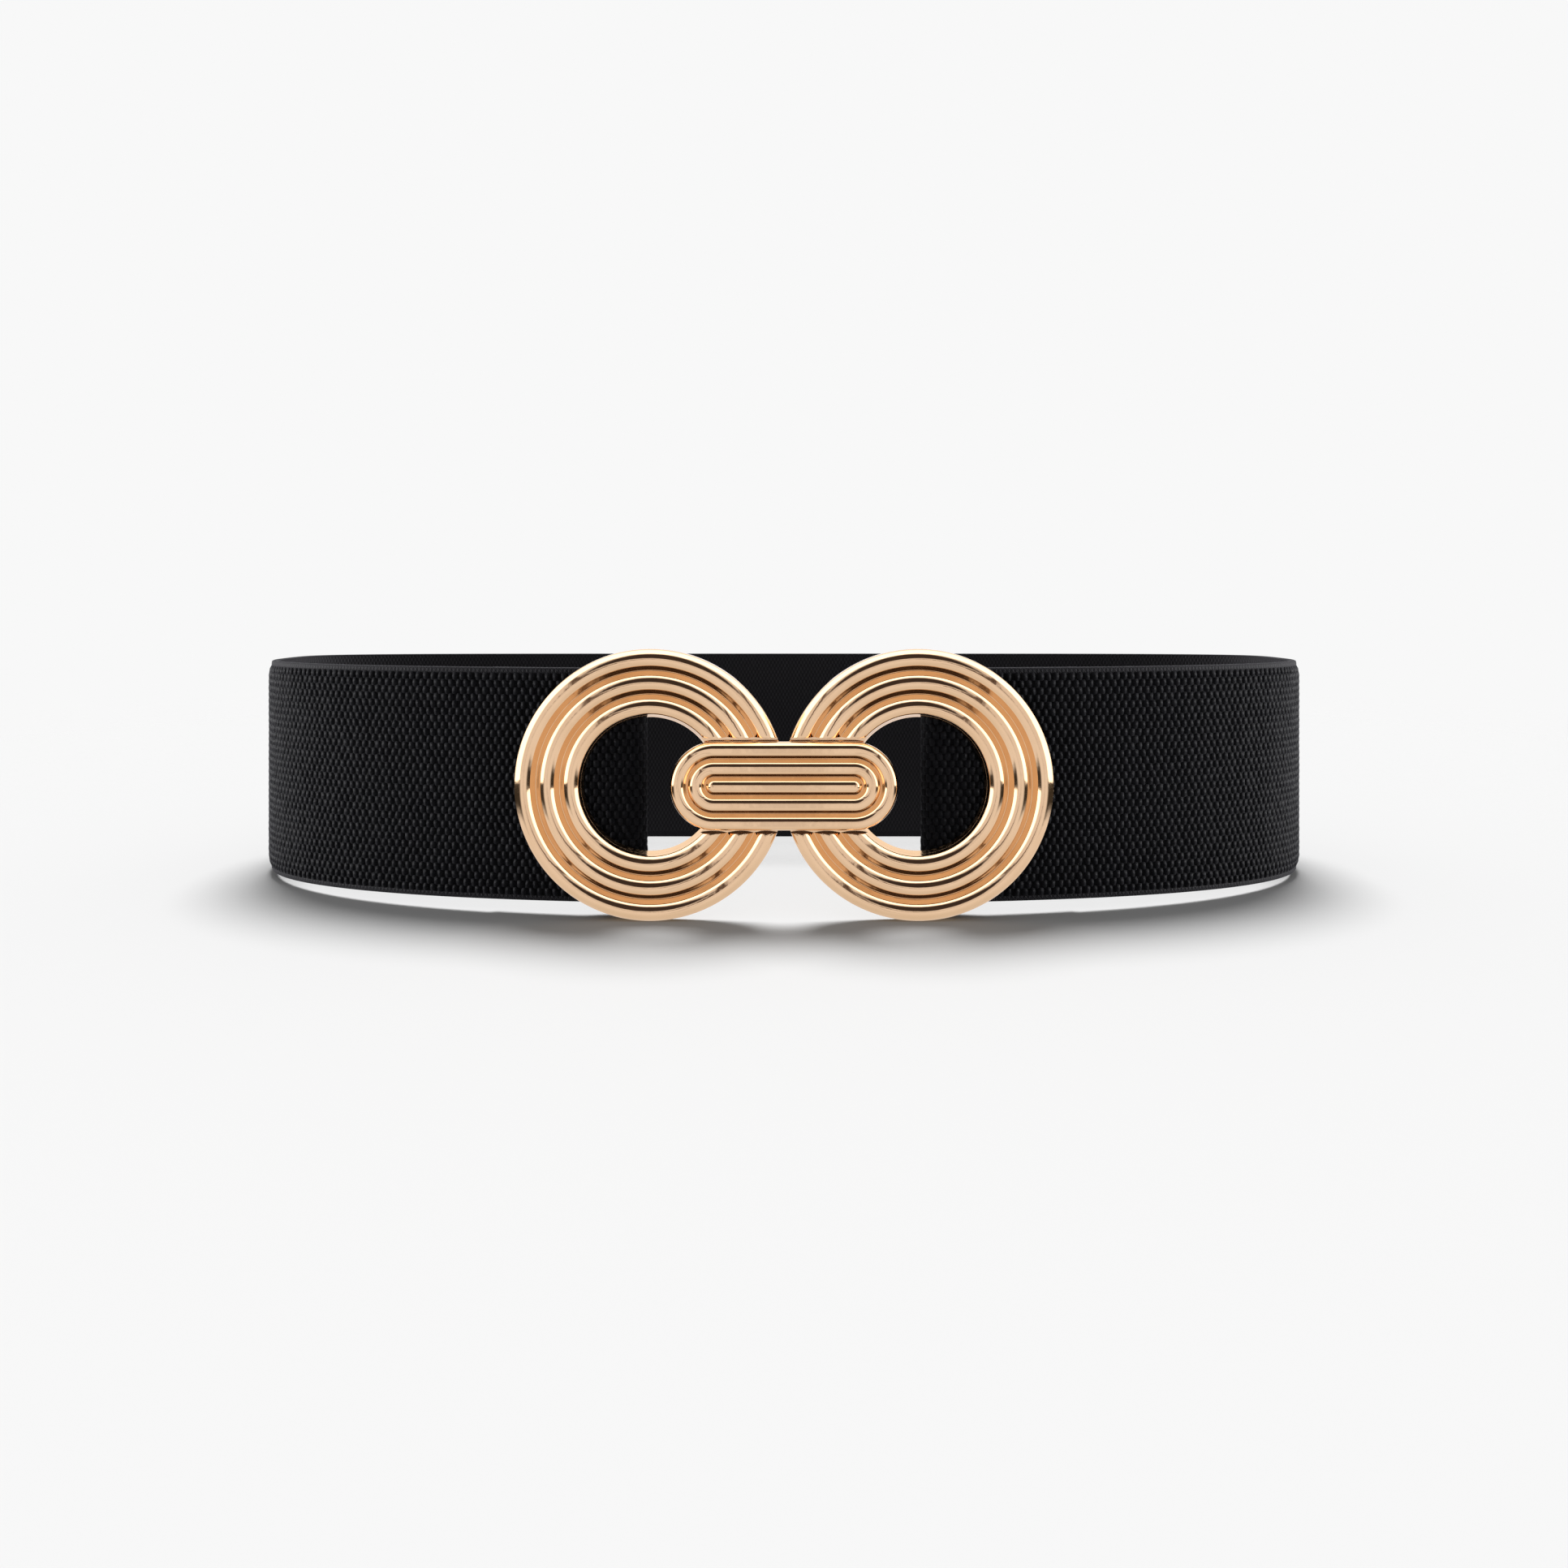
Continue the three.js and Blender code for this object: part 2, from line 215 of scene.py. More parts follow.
def quarter(depth_radius, exponent, share):
    """Points of a quarter super-ellipse, from the widest place (share 0) to the front or back (share 1)."""
    angle = share * np.pi / 2
    power = 2 / exponent
    return LOOP_HALF_WIDTH * np.cos(angle) ** power, depth_radius * np.sin(angle) ** power


shares = np.linspace(0, 1, PLAN_POINTS)
front_x, front_y = quarter(FRONT_DEPTH, FRONT_EXPONENT, shares[::-1])
back_x, back_y = quarter(BACK_DEPTH, BACK_EXPONENT, shares[1:])
line = np.column_stack([
    np.concatenate([front_x, back_x]),
    np.concatenate([FRONT_DEPTH - front_y, FRONT_DEPTH + back_y]),
])
line[0, 0] = 0.0
line[-1, 0] = 0.0


def lengths_of(points):
    """Length along a line of points, at each of them."""
    steps = np.hypot(*np.diff(points, axis=0).T)
    return np.concatenate([[0.0], np.cumsum(steps)])


line_lengths = lengths_of(line)
HALF_LENGTH = line_lengths[-1]


def on_line(along):
    """Point of the right half's outer face and its normal into the band, at a length from the front."""
    x = np.interp(along, line_lengths, line[:, 0])
    y = np.interp(along, line_lengths, line[:, 1])
    reach = 0.4
    ahead = np.clip(along + reach, 0, HALF_LENGTH)
    behind = np.clip(along - reach, 0, HALF_LENGTH)
    dx = np.interp(ahead, line_lengths, line[:, 0]) - np.interp(behind, line_lengths, line[:, 0])
    dy = np.interp(ahead, line_lengths, line[:, 1]) - np.interp(behind, line_lengths, line[:, 1])
    size = np.hypot(dx, dy)
    return np.column_stack([x, y]), np.column_stack([-dy / size, dx / size])


def band_point(along, inward):
    """Points of the right half's plan, at lengths from the front and depths into the band."""
    point, normal = on_line(np.atleast_1d(np.asarray(along, float)))
    return point + normal * np.atleast_1d(np.asarray(inward, float))[:, None]


def along_at_x(x, inward):
    """Length along the outer face at which a point at the given depth has the wanted X."""
    low, high = 0.0, HALF_LENGTH / 2
    for _ in range(40):
        middle = (low + high) / 2
        if band_point(middle, inward)[0, 0] < x:
            low = middle
        else:
            high = middle
    return low


BAR_ALONG = along_at_x(FOLD_EDGE_X + FOLD_RADIUS, FOLD_RADIUS)
bar_x, bar_depth = band_point(BAR_ALONG, FOLD_RADIUS)[0]
RING_BACK = band_point(BAR_ALONG, 0)[0, 1] - GAP
RING_FACE = RING_BACK - PLATE_THICKNESS
LINK_BACK = RING_FACE - GAP
LINK_FACE = LINK_BACK - LINK_PLATE
MIDDLE_DEPTH = (LINK_FACE - LINK_RIB_HEIGHT + LOOP_DEPTH) / 2


def lift(depth):
    """Lift of the band's lower edge: full at the buckle, none at the middle of the back."""
    none = LOOP_DEPTH - BAND_THICKNESS / 2
    return RING_OVERHANG * (none - depth) / none


def placed(x, depth, z):
    """Points in the frame's metres from millimetres across, deep and up."""
    return np.column_stack([np.ravel(x), np.ravel(depth) - MIDDLE_DEPTH, np.ravel(z)]) * MM


# Mesh helpers

def mesh_object(name, points, faces, smooth=True, uv=None):
    """Object from an array of points, an array of same-sized faces, and a UV for each point."""
    mesh = bpy.data.meshes.new(name)
    count, corners = faces.shape
    mesh.vertices.add(len(points))
    mesh.vertices.foreach_set("co", np.asarray(points, np.float32).ravel())
    mesh.loops.add(count * corners)
    mesh.loops.foreach_set("vertex_index", np.asarray(faces, np.int32).ravel())
    mesh.polygons.add(count)
    mesh.polygons.foreach_set("loop_start", np.arange(count, dtype=np.int32) * corners)
    mesh.polygons.foreach_set("loop_total", np.full(count, corners, np.int32))
    mesh.polygons.foreach_set("use_smooth", np.full(count, smooth))
    if uv is not None:
        layer = mesh.uv_layers.new(name="cloth")
        layer.data.foreach_set("uv", np.asarray(uv, np.float32)[faces.ravel()].ravel())
    mesh.update()
    mesh.validate()
    made = bpy.data.objects.new(name, mesh)
    bpy.context.scene.collection.objects.link(made)
    return made


def grid_faces(rows, columns, closed_rows=False, closed_columns=False):
    """Quads of a grid of points, numbered row by row."""
    r = np.arange(rows if closed_rows else rows - 1)
    c = np.arange(columns if closed_columns else columns - 1)
    r, c = [a.ravel() for a in np.meshgrid(r, c, indexing="ij")]
    nr, nc = (r + 1) % rows, (c + 1) % columns
    return np.column_stack([r * columns + c, nr * columns + c, nr * columns + nc, r * columns + nc])


def joined(name, parts):
    """One object from several, with their meshes joined."""
    bpy.ops.object.select_all(action="DESELECT")
    for part in parts:
        part.select_set(True)
    bpy.context.view_layer.objects.active = parts[0]
    bpy.ops.object.join()
    parts[0].name = name
    parts[0].data.name = name
    return parts[0]


def plan_prism(name, outlines, low, high, rounding):
    """Body with a flat plan, in millimetres, raised between two heights with rounded edges."""
    curve = bpy.data.curves.new(name, "CURVE")
    curve.dimensions = "2D"
    curve.fill_mode = "BOTH"
    for outline in outlines:
        spline = curve.splines.new("POLY")
        spline.points.add(len(outline) - 1)
        for point, (x, depth) in zip(spline.points, outline):
            point.co = (x * MM, (depth - MIDDLE_DEPTH) * MM, 0, 1)
        spline.use_cyclic_u = True
    curve.extrude = (high - low) / 2 * MM - rounding * MM
    curve.bevel_depth = rounding * MM
    curve.bevel_resolution = 3
    curve.offset = -rounding * MM
    source = bpy.data.objects.new(name, curve)
    bpy.context.scene.collection.objects.link(source)
    evaluated = source.evaluated_get(bpy.context.evaluated_depsgraph_get())
    mesh = bpy.data.meshes.new_from_object(evaluated)
    mesh.transform(Matrix.Translation((0, 0, (low + high) / 2 * MM)))
    bpy.data.objects.remove(source)
    made = bpy.data.objects.new(name, mesh)
    bpy.context.scene.collection.objects.link(made)
    smooth_by_angle(made)
    return made


def smooth_by_angle(thing, degrees=35):
    """Smooth shading with sharp edges where faces meet at more than the angle."""
    mesh = thing.data
    mesh.polygons.foreach_set("use_smooth", np.ones(len(mesh.polygons), bool))
    mesh.set_sharp_from_angle(angle=math.radians(degrees))


# The woven band

def cloth_path():
    """The line that the cloth's outer face follows, from the end of the right flap, round the fold and
    the whole loop, to the end of the left flap, as evenly spaced points in plan."""
    flap_along = BAR_ALONG + np.linspace(FLAP_LENGTH, FLAP_MEETS_BAND, FOLD_POINTS)
    flap = band_point(flap_along, 2 * BAND_THICKNESS)
    turn = np.linspace(np.pi / 2, 3 * np.pi / 2, FOLD_POINTS)
    fold_along = BAR_ALONG + FOLD_RADIUS * np.cos(turn)
    fold_inward = FOLD_RADIUS + FOLD_RADIUS * np.sin(turn)
    fold = band_point(fold_along, fold_inward)
    front = band_point(np.linspace(BAR_ALONG, HALF_LENGTH, LOOP_POINTS)[1:], 0)
    right = np.concatenate([flap, fold, front])
    whole = np.concatenate([right, right[-2::-1] * (-1, 1)])
    lengths = lengths_of(whole)
    even = np.arange(0, lengths[-1], PATH_STEP)
    points = np.column_stack([np.interp(even, lengths, whole[:, i]) for i in (0, 1)])
    for _ in range(PATH_SMOOTHING):
        points[1:-1] = (points[:-2] + 2 * points[1:-1] + points[2:]) / 4
    return points


path = cloth_path()
path_lengths = lengths_of(path)
PATH_LENGTH = path_lengths[-1]
slopes = np.gradient(path, axis=0)
slopes /= np.hypot(*slopes.T)[:, None]
path_normals = np.column_stack([slopes[:, 1], -slopes[:, 0]])


def on_cloth(along, rise, z):
    """Points of the cloth, in metres, from lengths along its outer face, rises off it and heights."""
    along, rise, z = [part.ravel() for part in np.broadcast_arrays(along, rise, z)]
    from_edge = np.minimum(z, BAND_HEIGHT - z)
    across, deep = [np.interp(along, path_lengths, path_normals[:, i]) for i in (0, 1)]
    curl = EDGE_CURL + EDGE_CURL_AT_SIDES * across ** 4
    rise = rise - curl * np.exp(-np.square(from_edge / (EDGE_CURL_REACH + across ** 4)))
    rise = rise + SIDE_FULLNESS * across ** 4
    x = np.interp(along, path_lengths, path[:, 0]) + rise * across
    y = np.interp(along, path_lengths, path[:, 1]) + rise * deep
    sag = (FRONT_SAG + SIDE_SAG * np.clip(y / FRONT_DEPTH, 0, 1)) * (1 - z / BAND_HEIGHT)
    return placed(x, y, z + (1 - sag) * lift(y))


def strip_section():
    """Section of the ground cloth, as [rise, height], with a rounded bead along each selvedge."""
    outer, inner = -GROUND_DEPTH, -BAND_THICKNESS
    points = []
    for z in np.linspace(SELVEDGE_WIDTH, BAND_HEIGHT - SELVEDGE_WIDTH, FACE_POINTS):
        points.append((outer, z))
    for share in np.linspace(0, 1, BEAD_POINTS)[1:]:
        lifted = outer + SELVEDGE_BEAD * math.sin(share * math.pi / 2) ** BEAD_FULLNESS
        points.append((lifted, BAND_HEIGHT - SELVEDGE_WIDTH + BEAD_REACH * share * SELVEDGE_WIDTH))
    face = points[-1][0]
    middle, half = (face + inner) / 2, (face - inner) / 2
    low = points[-1][1]
    for angle in np.linspace(0, np.pi, EDGE_POINTS)[1:-1]:
        points.append((middle + half * math.cos(angle), low + (BAND_HEIGHT - low) * math.sin(angle)))
    points.append((inner, low))
    top_half = np.array(points[FACE_POINTS:])
    lower = top_half[::-1] * (1, -1) + (0, BAND_HEIGHT)
    inside = [(inner, z) for z in np.linspace(low, BAND_HEIGHT - low, FACE_POINTS)[1:-1]]
    return np.concatenate([points[:FACE_POINTS], top_half, inside, lower])


def ground_cloth():
    """The strip under the floats, with a cap at each cut end."""
    section = strip_section()
    stations = np.linspace(0, PATH_LENGTH, STRIP_STATIONS)
    count = len(section)
    points = on_cloth(stations[:, None], section[None, :, 0], section[None, :, 1])
    around = lengths_of(section)
    uv = np.column_stack([np.repeat(stations, count), np.tile(around, len(stations))]) / UV_UNIT
    faces = grid_faces(len(stations), count, closed_columns=True)
    strip = mesh_object("ground", points, faces[:, ::-1], uv=uv)
    caps = []
    for k, along in enumerate((0.0, PATH_LENGTH)):
        rim = on_cloth(along, section[:, 0], section[:, 1])
        centre = on_cloth(along, (-BAND_THICKNESS - GROUND_DEPTH) / 2, section[:, 1])
        ring_points = np.concatenate([rim, centre])
        order = grid_faces(2, count, closed_columns=True)
        caps.append(mesh_object(f"cap_{k}", ring_points, order if k else order[:, ::-1]))
    return joined("ground_cloth", [strip, *caps])


def floats(name, first, last):
    """The raised floats of the weave between two lengths of the cloth."""
    u, v = [a.ravel() for a in np.meshgrid(FLOAT_ACROSS, FLOAT_UPWARD, indexing="ij")]
    places = np.meshgrid(np.arange(FLOAT_ROWS), np.arange(int(PATH_LENGTH / FLOAT_STEP)), indexing="ij")
    row, column = [a.ravel() for a in places]
    centre = (column + 0.5 + 0.5 * (row % 2)) * FLOAT_STEP
    wobble = rng.uniform(-1, 1, (5, len(centre)))
    keep = (centre >= max(first, FLOAT_END_ROOM)) & (centre < min(last, PATH_LENGTH - FLOAT_END_ROOM))
    row, centre, wobble = row[keep], centre[keep], wobble[:, keep]
    height = SELVEDGE_WIDTH + (row + 0.5) * FLOAT_ROW_HEIGHT
    half_width = FLOAT_HALF_WIDTH * (1 + WIDTH_VARIES * wobble[0])
    turned_away = np.abs(np.interp(centre, path_lengths, path_normals[:, 0]))
    flatter = 1 - FLATTER_BY * np.clip((turned_away - FLATTER_FROM) / FLATTER_OVER, 0, 1)
    rise = FLOAT_RISE * (1 + RISE_VARIES * wobble[1]) * flatter
    lean = LEAN * wobble[2]
    waist = 1 - FLOAT_WAIST * np.abs(v) ** 3
    dome = (1 - np.abs(u) ** DOME_ACROSS) ** DOME_FULLNESS * (1 - np.abs(v) ** DOME_UPWARD) ** DOME_FULLNESS
    along = centre[:, None] + PLACE_VARIES * wobble[3][:, None] + half_width[:, None] * u * waist
    along = along + lean[:, None] * v
    z = height[:, None] + HEIGHT_VARIES * wobble[4][:, None] + v * FLOAT_HALF_HEIGHT
    lifted = -GROUND_DEPTH - FLOAT_SINK + (rise[:, None] + FLOAT_SINK) * dome
    points = on_cloth(along, lifted, z)
    uv = np.column_stack([along.ravel(), z.ravel()]) / UV_UNIT
    one = grid_faces(len(FLOAT_ACROSS), len(FLOAT_UPWARD))
    faces = (one[None] + len(u) * np.arange(len(centre))[:, None, None]).reshape(-1, 4)
    return mesh_object(name, points, faces[:, ::-1], uv=uv)


def stitches():
    """Rows of thread that hold each flap: two through both layers, and one near the flap's end inside."""
    sides, rings = 8, 7
    turn = np.linspace(0, 2 * np.pi, sides, endpoint=False)
    lie = np.linspace(-1, 1, rings)
    bulge = np.sqrt(np.clip(1 - lie ** 4, 0, 1)) + 0.02
    one = grid_faces(rings, sides, closed_columns=True)
    past_fold = int(np.argmin(np.abs(path_lengths - FLAP_LENGTH - math.pi * FOLD_RADIUS)))
    front_half = len(path) // 2
    rows = [FLAP_LENGTH - FLAP_END_STITCHES]
    for beyond in THROUGH_STITCHES:
        front = band_point(BAR_ALONG + beyond, 0)[0]
        away = np.hypot(*(path[past_fold:front_half] - front).T)
        rows += [FLAP_LENGTH - beyond, path_lengths[past_fold + np.argmin(away)]]
    points, faces = [], []
    for along in rows:
        for place in (along, PATH_LENGTH - along):
            for height in np.arange(STITCH_FIRST, STITCH_LAST, STITCH_STEP):
                around = place + STITCH_RADIUS * bulge[:, None] * np.cos(turn)
                rise = STITCH_REST - STITCH_SINK * lie[:, None] ** 2
                rise = rise + STITCH_RADIUS * bulge[:, None] * np.sin(turn)
                z = height + lie[:, None] * STITCH_LENGTH / 2 + 0 * turn
                faces.append(one + rings * sides * len(points))
                points.append(on_cloth(around, rise, z))
    return mesh_object("stitches", np.concatenate(points), np.concatenate(faces)[:, ::-1])


# The metal

def ribbed_line(crests, round_half, half_pitch, slope, flatness, crest_depth):
    """Section across ribs side by side, as [radius, depth]: rounded crests, straight walls and narrow
    grooves. A flatness of 1 gives round crests, and more gives flatter ones with tighter shoulders."""
    across = np.linspace(0, 1, CREST_POINTS)
    sine = math.sin(slope) * across ** flatness
    fall = sine / np.sqrt(1 - sine ** 2)
    drop = np.concatenate([[0.0], np.cumsum((fall[1:] + fall[:-1]) / 2 * np.diff(across))]) * round_half
    half = np.column_stack([across * round_half, drop])
    arc = np.concatenate([half[:0:-1] * (-1, 1), half])
    shoulder = arc[-1, 1]
    wall = half_pitch - round_half
    foot = shoulder + wall * math.tan(slope)
    parts = []
    for i, crest in enumerate(crests):
        if i:
            turn = np.linspace(-slope, slope, GROOVE_POINTS)
            radius = GROOVE_ROUND_HALF / math.sin(slope)
            lowest = foot - GROOVE_ROUND_HALF * math.tan(slope) - radius * math.cos(slope)
            valley = np.column_stack([np.sin(turn), np.cos(turn)]) * radius
            parts.append(valley + (crest - half_pitch, crest_depth + lowest))
        parts.append(arc + (crest, crest_depth))
    return np.concatenate(parts)


def spread(points, step):
    """The same line with extra points, so that no piece of it is longer than the step."""
    out = [points[0]]
    for start, end in zip(points[:-1], points[1:]):
        count = max(1, int(np.ceil(np.hypot(*(end - start)) / step)))
        out.extend(start + (end - start) * k / count for k in range(1, count + 1))
    return np.array(out)


def rounded_edge(corner, outer, drop):
    """Points that round the outermost rib off, from its corner to the outer edge."""
    return [corner + ((outer - corner[0]) * out, drop * down) for out, down in RIB_EDGE]


def rounded_corner(radius, depth, bevel):
    """Rounded corner of a section, as [radius, depth], from the side round to the back."""
    turn = np.linspace(0, np.pi / 2, CORNER_POINTS)
    return np.column_stack([radius - bevel + bevel * np.cos(turn), depth - bevel + bevel * np.sin(turn)])


def ring_section():
    """Section of a ring's ribs, as [radius, depth], and the radius of its inner wall at the plate."""
    crests = RING_FIRST_CREST + np.arange(RIB_COUNT) * 2 * RING_HALF_PITCH
    crest_depth = RING_FACE - RIB_HEIGHT
    top = ribbed_line(crests, RING_ROUND_HALF, RING_HALF_PITCH, RING_SLOPE, RING_FLATNESS, crest_depth)
    wall_share = PLATE_THICKNESS / (RING_BACK - top[0, 1])
    foot = PLATE_HOLE_RADIUS + (top[0, 0] - PLATE_HOLE_RADIUS) * wall_share
    outer = RING_RADIUS - RIB_INSET
    seat = RING_FACE + RIB_SEAT
    start = [[foot - RIB_FOOT_INSET, seat], [foot + RIB_INSET, RING_FACE]]
    fillet = rounded_edge(top[-1], outer, RING_EDGE_DROP)
    section = np.concatenate([start, top, fillet, [[outer, RING_FACE], [outer, seat]]])
    return spread(section, RING_POINT_STEP), foot


def ring_ribs(name, side, section):
    """The ribs, which stop at the recess for the link, and a cap over each of their ends."""
    rows = [(0.0, *end) for end in RIB_END]
    rows += [(k / RING_STATIONS, *RIB_END[-1]) for k in range(1, RING_STATIONS)]
    rows += [(1.0, *end) for end in RIB_END[::-1]]
    share, shrink, back = [column[:, None] for column in np.array(rows).T]
    radius = section[:, 0]
    cut = np.arcsin(np.clip((RECESS_HALF_HEIGHT + back) / radius, -1, 1))
    angle = cut + share * (2 * np.pi - 2 * cut)
    x = side * (RING_CENTRE_X - radius * np.cos(angle))
    depth = RING_FACE + (section[:, 1] - RING_FACE) * shrink
    z = RING_RADIUS + radius * np.sin(angle)
    points = placed(x, depth, z)
    faces = grid_faces(len(rows), len(section), closed_columns=True)
    ribs = mesh_object(name + "_ribs", points, faces[:, ::-1] if side > 0 else faces)
    rims = (points[:len(section)], points[-len(section):])
    return [ribs, *[end_cap(name + "_cap", rim) for rim in rims]]


def ring_plate(name, side, foot):
    """The flat base plate, trimmed where the two rings meet."""
    outer_corner = rounded_corner(RING_RADIUS, RING_BACK, PLATE_EDGE)
    inner_corner = rounded_corner(-PLATE_HOLE_RADIUS, RING_BACK, PLATE_EDGE)[::-1] * (-1, 1)
    start, end = [RING_RADIUS, RING_FACE], [foot, RING_FACE]
    section = np.concatenate([[start], outer_corner, inner_corner, [end]])
    angle = np.linspace(0, 2 * np.pi, PLATE_SIDES, endpoint=False)[:, None]
    x = np.minimum(section[:, 0] * np.cos(angle), RING_CENTRE_X - RING_SPLIT / 2)
    z = RING_RADIUS + section[:, 0] * np.sin(angle)
    points = placed(side * (RING_CENTRE_X - x), section[:, 1] + 0 * x, z)
    faces = grid_faces(len(angle), len(section), closed_rows=True, closed_columns=True)
    return mesh_object(name + "_plate", points, faces[:, ::-1] if side < 0 else faces)


def ring_lugs(name, side):
    """The two lugs behind a ring, each with a socket for the bar and a solid end."""
    lugs = []
    for sign in (-1, 1):
        inner, socket_end, outer = [RING_RADIUS + sign * z for z in (LUG_INNER, SOCKET_END, LUG_OUTER)]
        low, high = sorted((inner, socket_end))
        outlines = [lug_outline(side), socket_outline(side)]
        lugs.append(plan_prism(name + "_lug", outlines, low, high, SOCKET_EDGE))
        low, high = sorted((socket_end - sign * LUG_OVERLAP, outer))
        lugs.append(plan_prism(name + "_lug_end", [lug_outline(side)], low, high, LUG_EDGE))
    return lugs


def ring(name, side):
    """One ring: ribs that stop at the recess for the link, on a flat base plate with two lugs behind."""
    section, foot = ring_section()
    parts = [ring_plate(name, side, foot), *ring_ribs(name, side, section), *ring_lugs(name, side)]
    whole = joined(name, parts)
    smooth_by_angle(whole, 30)
    return whole


def end_cap(name, rim):
    """Flat cap over a closed rim of points."""
    mesh = bpy.data.meshes.new(name)
    mesh.from_pydata([tuple(p) for p in rim], [], [list(range(len(rim)))])
    mesh.update()
    made = bpy.data.objects.new(name, mesh)
    bpy.context.scene.collection.objects.link(made)
    return made


def lug_outline(side):
    """Plan of a lug: a half round about the bar, with straight sides down into the plate."""
    middle = side * bar_x
    foot = RING_BACK - LUG_SEAT
    angle = np.linspace(0, np.pi, LUG_POINTS)
    half_round = zip(middle + LUG_HALF_WIDTH * np.cos(angle), bar_depth + LUG_HALF_WIDTH * np.sin(angle))
    return [*half_round, (middle - LUG_HALF_WIDTH, foot), (middle + LUG_HALF_WIDTH, foot)]


def socket_outline(side):
    """Plan of the hole in a lug that holds the bar."""
    angle = np.linspace(0, 2 * np.pi, SOCKET_POINTS, endpoint=False)
    return list(zip(side * bar_x + EYE_RADIUS * np.cos(angle), bar_depth + EYE_RADIUS * np.sin(angle)))


def rod(name, side):
    """The bar: a round rod with rounded ends."""
    half = SOCKET_END - GAP
    end = rounded_corner(BAR_RADIUS, half, BAR_EDGE)
    section = np.concatenate([[[0.0, -half]], end[::-1] * (1, -1), end, [[0.0, half]]])
    angle = np.linspace(0, 2 * np.pi, BAR_SIDES, endpoint=False)[:, None]
    x = side * bar_x + section[:, 0] * np.cos(angle)
    depth = bar_depth + section[:, 0] * np.sin(angle)
    z = RING_RADIUS + section[:, 1] + 0 * x
    return mesh_object(name, placed(x, depth, z), grid_faces(len(angle), len(section), closed_rows=True))


def link(name):
    """The oval link: its ribbed section turned about each end of a straight stretch."""
    crests = np.arange(LINK_CRESTS) * LINK_RIB_PITCH
    half_pitch = LINK_RIB_PITCH / 2
    crest_depth = LINK_FACE - LINK_RIB_HEIGHT
    top = ribbed_line(crests, LINK_ROUND_HALF, half_pitch, LINK_SLOPE, LINK_FLATNESS, crest_depth)
    top = top[top[:, 0] > -1e-6]
    fillet = rounded_edge(top[-1], LINK_HALF_HEIGHT, LINK_EDGE_DROP)
    back = rounded_corner(LINK_HALF_HEIGHT, LINK_BACK, LINK_EDGE)
    section = np.concatenate([top, fillet, back, [[0.0, LINK_BACK]]])
    half_turn = np.linspace(-np.pi / 2, np.pi / 2, LINK_END_POINTS)
    angle = np.concatenate([half_turn, half_turn + np.pi])[:, None]
    shift = np.repeat([LINK_HALF_STRAIGHT, -LINK_HALF_STRAIGHT], LINK_END_POINTS)[:, None]
    x = shift + section[:, 0] * np.cos(angle)
    z = RING_RADIUS + section[:, 0] * np.sin(angle)
    faces = grid_faces(len(angle), len(section), closed_rows=True)
    made = mesh_object(name, placed(x, section[:, 1] + 0 * x, z), faces)
    smooth_by_angle(made, 40)
    return made


def hook(name):
    """The hidden hook: a plate behind the link, with a leg forward into each ring's hole."""
    hole_half_width = math.sqrt(HOLE_RADIUS ** 2 - HOOK_HALF_HEIGHT ** 2)
    inner = RING_CENTRE_X - hole_half_width + GAP
    outer = inner + HOOK_LEG
    front = RING_BACK + GAP
    back = front + HOOK_PLATE
    outline = [
        (-outer, RING_FACE), (-inner, RING_FACE), (-inner, front), (inner, front),
        (inner, RING_FACE), (outer, RING_FACE), (outer, back), (-outer, back),
    ]
    low, high = RING_RADIUS - HOOK_HALF_HEIGHT, RING_RADIUS + HOOK_HALF_HEIGHT
    return plan_prism(name, [outline], low, high, HOOK_EDGE)


# Materials

# Colours as linear red, green, blue and alpha. A pair holds the two ends of a fine variation.
GOLD = ((0.86, 0.585, 0.345, 1), (0.83, 0.555, 0.32, 1))
YARN = ((0.0066, 0.0066, 0.0078, 1), (0.0112, 0.0110, 0.0126, 1))
YARN_FUZZ = (0.015, 0.0147, 0.0155, 1)
INNER_KNIT = ((0.0110, 0.0106, 0.0120, 1), (0.0230, 0.0222, 0.0245, 1))
# The outer ground shows only in the gaps between the floats. It is the cloth's own black, darkened well
# below its inside as painted shade in those gaps.
OUTER_GROUND_AND_PAINTED_SHADE = ((0.0010, 0.0010, 0.0013, 1), (0.0026, 0.0025, 0.0030, 1))
SELVEDGE_WRAPS = ((0.0045, 0.0045, 0.0055, 1), (0.0215, 0.0205, 0.0230, 1))
THREAD = ((0.016, 0.016, 0.017, 1), (0.032, 0.031, 0.033, 1))

# The knit of the ground cloth, and where its faces meet, as centimetres round its section
KNIT_STEP = 0.115
KNIT_HEIGHT = 0.21
KNIT_RIB_STEP = 0.05
INNER_FACE_FROM = (5.9, 6.1)
UPPER_SELVEDGE_FROM = (5.66, 5.74)
UPPER_SELVEDGE_TO = (6.06, 6.12)
LOWER_SELVEDGE_FROM = (11.80, 11.86)


